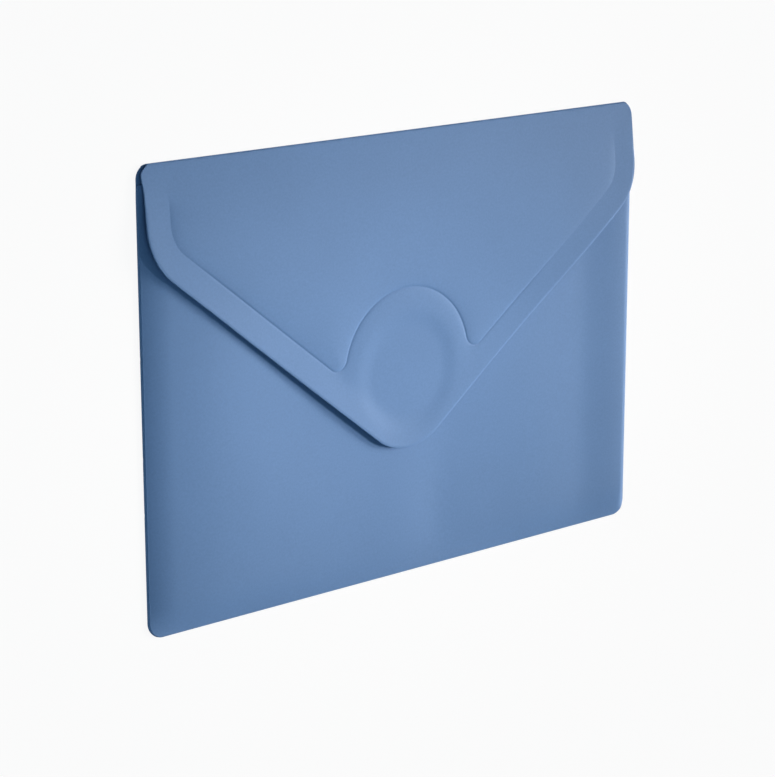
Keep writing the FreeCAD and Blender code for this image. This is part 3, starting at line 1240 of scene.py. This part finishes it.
@dataclass
class SideSeams:
    """The melted beads that close the pocket's two sides."""

    form: WalletForm
    finish: bpy.types.Material
    nicks: tuple[float, ...] = (96.0, 147.0, 176.0)
    nick_depth: float = 0.22
    nick_length: float = 0.7
    start_drop: float = 7.5
    start_share: float = 0.4
    start_run: float = 10.0
    side_steps: int = 220
    corner_steps: int = 18
    cap_steps: int = 5
    sides: int = 12

    def path(self) -> tuple[Array, Array, Array]:
        """The left bead's middle line in plan: down the side and round the bottom corner.

        Returns:
            The points, their outward normals and the length run at each.
        """
        form = self.form
        corner = (form.bottom_corner - form.half_width, form.height - form.bottom_corner)
        side_x = form.bottom_radius - form.half_width
        side = line_path((side_x, self.start_drop), (side_x, corner[1]), (-1.0, 0.0),
                         np.linspace(0, 1, self.side_steps + 1))
        turn = arc_path(corner, form.bottom_corner - form.bottom_radius, 180.0, 90.0,
                        self.corner_steps)
        points, normals = joined(side, turn)
        steps = np.hypot(*np.diff(points, axis=0).T)
        return points, normals, np.concatenate([[0.0], np.cumsum(steps)])

    def build(self, left: bool) -> bpy.types.Object:
        """Builds one bead: a round carried along the path, thinner at its start and its nicks.

        Args:
            left: Whether it is the left side's, which has the nicks.

        Returns:
            The bead.
        """
        form = self.form
        points, normals, run = self.path()
        grown = self.start_share + (1 - self.start_share) * smooth_step(run / self.start_run)
        size = form.bottom_radius * grown
        if left:
            for drop in self.nicks:
                past_nick = run - (drop - self.start_drop)
                size = size - self.nick_depth * bell(past_nick, self.nick_length)
        turn = np.linspace(0, 2 * math.pi, self.sides, endpoint=False)
        out = size[:, None] * np.cos(turn)
        z = size[:, None] * (1 + np.sin(turn))
        plan = points[:, None] + out[..., None] * normals[:, None]
        tube = form.place(plan[..., 0] * (1 if left else -1), plan[..., 1], z)
        cap = self.cap(tube[0], np.array([0.0, size[0], 0.0]))
        tail = self.cap(tube[-1], np.zeros(3))[::-1]
        skin = Skin()
        skin.add_grid(np.concatenate([cap, tube, tail]), close_columns=True)
        piece = skin.build("side_seam_left" if left else "side_seam_right")
        piece.data.materials.append(self.finish)
        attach(piece, Body.POCKET.value)
        return piece

    def cap(self, ring: Array, reach: Array) -> Array:
        """Rings that close an end: the end ring drawn in to its middle as a round.

        Args:
            ring: The tube's end ring.
            reach: The way from the ring's middle to the tip of the cap.

        Returns:
            Rings from the tip to the end ring, which is left out.
        """
        middle = ring.mean(axis=0)
        turn = np.linspace(0, math.pi / 2, self.cap_steps + 1)[:-1, None, None]
        return middle + np.sin(turn) * (ring - middle)[None] + np.cos(turn) * reach


@dataclass
class ClosureDot:
    """One half of the round closure: a thin backing under rows of hooks or a loop pile."""

    form: WalletForm
    finish: bpy.types.Material
    backing: float = 0.3
    edge: float = 0.12
    edge_steps: int = 6
    rings: int = 14
    spokes: int = 64

    def build_backing(self, skin: Skin, facing: float,
                      surface: Callable[[Array, Array], Array]) -> None:
        """Adds the round backing, a profile turned about the dot's middle.

        Args:
            skin: What the backing is added to.
            facing: 1 if the dot faces up, -1 if it faces down.
            surface: The height of the surface that carries it.
        """
        form = self.form
        radius = form.dot_diameter / 2
        flat = np.linspace(0.0, radius - self.edge, self.rings)
        turn = half_turn(self.edge_steps)[1:-1]
        r = np.concatenate([flat, radius - self.edge + self.edge * np.cos(turn), flat[::-1]])
        high = np.concatenate([np.full_like(flat, self.backing),
                               self.backing / 2 * (1 + np.sin(turn)), np.zeros_like(flat)])
        angle = np.linspace(0, 2 * math.pi, self.spokes, endpoint=False)[None]
        x = r[:, None] * np.cos(angle)
        drop = form.dish_drop + r[:, None] * np.sin(angle)
        z = surface(x, drop) + facing * high[:, None]
        skin.add_grid(form.place(x, drop, z), close_columns=True)


@dataclass
class LoopDot(ClosureDot):
    """The soft half, on the pocket's front panel."""

    seed: int = 7
    loops: int = 620
    margin: float = 0.5
    loop_height: float = 0.36
    lowest_share: float = 0.75
    loop_span: float = 0.55
    thread: float = 0.055
    arch_points: int = 7

    def front(self, x: Array, drop: Array) -> Array:
        """Height of the front panel's outer face under the dot."""
        return self.form.front_under(x, drop) + self.form.sheet

    def build(self) -> bpy.types.Object:
        """Builds the backing and its pile: small arches, scattered and turned at random.

        An arch is a thin thread carried over half a turn, and each has a height of its own.

        Returns:
            The piece.
        """
        form = self.form
        skin = Skin()
        self.build_backing(skin, 1.0, self.front)
        random = np.random.default_rng(self.seed)
        radius = (form.dot_diameter / 2 - self.margin) * np.sqrt(random.random(self.loops))
        angle = random.random(self.loops) * 2 * math.pi
        heading = random.random(self.loops) * 2 * math.pi
        share = self.lowest_share + (1 - self.lowest_share) * random.random(self.loops)
        tall = self.loop_height * share
        x, drop = radius * np.cos(angle), form.dish_drop + radius * np.sin(angle)
        turn = np.linspace(0, math.pi, self.arch_points)[None, :, None]
        around = np.linspace(0, 2 * math.pi, TUBE_SIDES, endpoint=False)[None, None, :]
        way = (self.loop_span / 2 + self.thread * np.cos(around)) * np.cos(turn)
        up = tall[:, None, None] * np.sin(turn) + self.thread * np.cos(around) * np.sin(turn)
        aside = self.thread * np.sin(around) * np.ones_like(turn)
        cosine, sine = np.cos(heading)[:, None, None], np.sin(heading)[:, None, None]
        px = x[:, None, None] + way * cosine - aside * sine
        py = drop[:, None, None] + way * sine + aside * cosine
        base = (self.front(x, drop) + self.backing - self.thread)[:, None, None]
        points = form.place(px, py, base + up).reshape(self.loops, -1, 3)
        skin.add_copies(points, tube_faces(self.arch_points))
        piece = skin.build("loop_pile")
        piece.data.materials.append(self.finish)
        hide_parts("loop_dot")
        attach(piece, Body.POCKET.value)
        return piece


@dataclass
class HookDot(ClosureDot):
    """The stiff half, under the flap's dish."""

    pitch: float = 1.15
    pitches: int = 9
    margin: float = 0.6
    hook_height: float = 0.36
    hook_width: float = 0.17
    hook_bend: float = 0.16
    bend_turn: float = 0.9 * math.pi
    bend_steps: int = 4
    tip_share: float = 0.55
    root_depth: float = 0.03

    def underside(self, x: Array, drop: Array) -> Array:
        """Height of the flap's underside over the dot."""
        return self.form.flap_top(x, drop) - self.form.sheet

    def build(self) -> bpy.types.Object:
        """Builds the backing and rows of hooks.

        A hook is a square stem that slims towards its tip and bends over like a crook, along
        part of a flat round. Every other row leans the other way.

        Returns:
            The piece.
        """
        form = self.form
        skin = Skin()
        self.build_backing(skin, -1.0, self.underside)
        steps = np.arange(-self.pitches, self.pitches + 1) * self.pitch
        x, y = (grid.ravel() for grid in np.meshgrid(steps, steps))
        inside = np.hypot(x, y) < form.dot_diameter / 2 - self.margin
        x, drop = x[inside], form.dish_drop + y[inside]
        lean = np.where(np.round(x / self.pitch) % 2 == 0, 1.0, -1.0)
        stem = self.hook_height - self.hook_bend
        turn = np.linspace(0, self.bend_turn, self.bend_steps + 1)[1:]
        along = np.concatenate([[0.0, 0.0], self.hook_bend / 2 * (1 - np.cos(turn))])
        tall = np.concatenate([[0.0, stem], stem + self.hook_bend * np.sin(turn)])
        corners = np.array([[-1, -1], [1, -1], [1, 1], [-1, 1]]) * self.hook_width / 2
        slim = np.linspace(1.0, self.tip_share, len(along))[None, :, None]
        px = x[:, None, None] + corners[None, None, :, 0] * slim
        py = (drop[:, None, None] + lean[:, None, None] * along[None, :, None]
              + corners[None, None, :, 1] * slim)
        base = self.underside(x, drop)[:, None, None] - self.backing + self.root_depth
        points = form.place(px, py, base - tall[None, :, None]).reshape(len(x), -1, 3)
        skin.add_copies(points, tube_faces(len(along)))
        piece = skin.build("hook_field")
        piece.data.materials.append(self.finish)
        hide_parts("hook_dot")
        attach(piece, Body.FLAP.value)
        return piece


# ------------------------------------------------------------------------------------ the studio


@dataclass
class Lamp:
    """A square soft lamp that looks at a point."""

    name: str
    place: tuple[float, float, float]
    size: float
    power: float
    aim: tuple[float, float, float] = (0.0, 0.0, 0.0)
    spread: float = 180.0
    colour: tuple[float, float, float] = (1.0, 1.0, 1.0)

    def build(self) -> bpy.types.Object:
        """Sets the lamp up.

        Returns:
            The lamp.
        """
        light = bpy.data.lights.new(self.name, "AREA")
        light.size = self.size
        light.energy = self.power
        light.color = self.colour
        light.spread = math.radians(self.spread)
        lamp = bpy.data.objects.new(self.name, light)
        bpy.context.scene.collection.objects.link(lamp)
        lamp.location = self.place
        heading = Vector(self.aim) - Vector(self.place)
        lamp.rotation_euler = heading.to_track_quat("-Z", "Y").to_euler()
        return lamp


@dataclass
class Studio:
    """A plain pale floor, soft lamps and the camera."""

    floor_size: float = 12.0
    floor_gap: float = 0.0002
    floor_colour: tuple[float, float, float] = (0.86, 0.86, 0.87)
    floor_roughness: float = 0.9
    floor_white: float = 0.92
    world_strength: float = 0.13
    world_colour: tuple[float, float, float] = (0.5, 0.8, 1.0)
    camera_place: tuple[float, float, float] = (-0.82882, 0.32107, 0.98856)
    camera_aim: tuple[float, float, float] = (-0.01011, -0.01637, 0.0)
    camera_up: tuple[float, float, float] = (0.16358, 0.96714, -0.19466)
    lens: float = 115.62
    sensor: float = 36.0
    sight: float = 50.0
    lamps: tuple[Lamp, ...] = field(default_factory=lambda: (
        Lamp("key from the right", place=(2.65, -0.02, 1.25), size=1.25, power=5.65,
             aim=(0.02, -0.04, 0.0), spread=30.0, colour=(1.0, 0.92, 0.84)),
        Lamp("pool over the middle", place=(1.55, -0.1, 1.75), size=0.2, power=0.1,
             spread=9.5, colour=(0.97, 0.985, 1.0)),
        Lamp("broad fill", place=(-0.7, -0.4, 2.1), size=1.8, power=6.05,
             colour=(0.5, 0.82, 1.0)),
    ))

    def build_floor(self) -> bpy.types.Object:
        """Builds a plain floor just under the wallet, near white to the camera, with a shadow.

        Returns:
            The floor.
        """
        half = self.floor_size / 2
        corners = [(-half, -half, 0), (half, -half, 0), (half, half, 0), (-half, half, 0)]
        mesh = bpy.data.meshes.new("floor")
        mesh.from_pydata(corners, [], [(0, 1, 2, 3)])
        floor = bpy.data.objects.new("floor", mesh)
        bpy.context.scene.collection.objects.link(floor)
        floor.location.z = -self.floor_gap
        material = bpy.data.materials.new("pale floor")
        material.use_nodes = True
        tree = material.node_tree
        shader = tree.nodes["Principled BSDF"]
        shader.inputs["Base Color"].default_value = (*self.floor_colour, 1.0)
        shader.inputs["Roughness"].default_value = self.floor_roughness
        glow = tree.nodes.new("ShaderNodeEmission")
        share = math_node(tree, "MULTIPLY", seen_directly(tree), self.floor_white)
        mix_to_output(tree, share, shader, glow, "Material Output")
        mesh.materials.append(material)
        return floor

    def build_world(self) -> None:
        """Even bluish light from all round, and plain white behind the floor."""
        world = bpy.data.worlds.new("studio")
        world.use_nodes = True
        tree = world.node_tree
        back = tree.nodes["Background"]
        back.inputs["Color"].default_value = (*self.world_colour, 1.0)
        back.inputs["Strength"].default_value = self.world_strength
        plain = tree.nodes.new("ShaderNodeBackground")
        plain.inputs["Color"].default_value = (1.0, 1.0, 1.0, 1.0)
        mix_to_output(tree, seen_directly(tree), back, plain, "World Output")
        bpy.context.scene.world = world

    def build_camera(self) -> bpy.types.Object:
        """Sets the camera up: it looks from its place to its aim, turned to its up direction.

        Returns:
            The camera.
        """
        data = bpy.data.cameras.new("camera")
        data.lens = self.lens
        data.sensor_width = self.sensor
        data.clip_end = self.sight
        camera = bpy.data.objects.new("camera", data)
        bpy.context.scene.collection.objects.link(camera)
        back = (Vector(self.camera_place) - Vector(self.camera_aim)).normalized()
        right = Vector(self.camera_up).cross(back).normalized()
        up = back.cross(right)
        turn = Matrix((right, up, back)).transposed().to_4x4()
        camera.matrix_world = Matrix.Translation(Vector(self.camera_place)) @ turn
        bpy.context.scene.camera = camera
        return camera

    def build(self) -> None:
        """Sets up the floor, the light and the camera."""
        self.build_floor()
        self.build_world()
        for lamp in self.lamps:
            lamp.build()
        self.build_camera()
        bpy.context.scene.view_settings.view_transform = "Standard"


def main() -> None:
    """Builds the wallet and the studio."""
    logging.basicConfig(level=logging.INFO, format="%(name)s: %(message)s")
    form = WalletForm()
    sheet = SatinSheet().make()
    seams = SideSeams(form, sheet)
    pile = Nylon("loop pile", colour=(0.72, 0.74, 0.76), roughness=0.8, sheen=0.3)
    moulded = Nylon("hook nylon", colour=(0.68, 0.70, 0.73), roughness=0.45)
    pieces = [
        PocketSheet(form, sheet).build(),
        FlapSheet(form, sheet).build(),
        seams.build(left=True),
        seams.build(left=False),
        LoopDot(form, pile.make()).build(),
        HookDot(form, moulded.make()).build(),
    ]
    for piece in pieces:
        LOG.info("%s: %d faces", piece.name, len(piece.data.polygons))
    Studio().build()


if __name__ == "__main__":
    main()
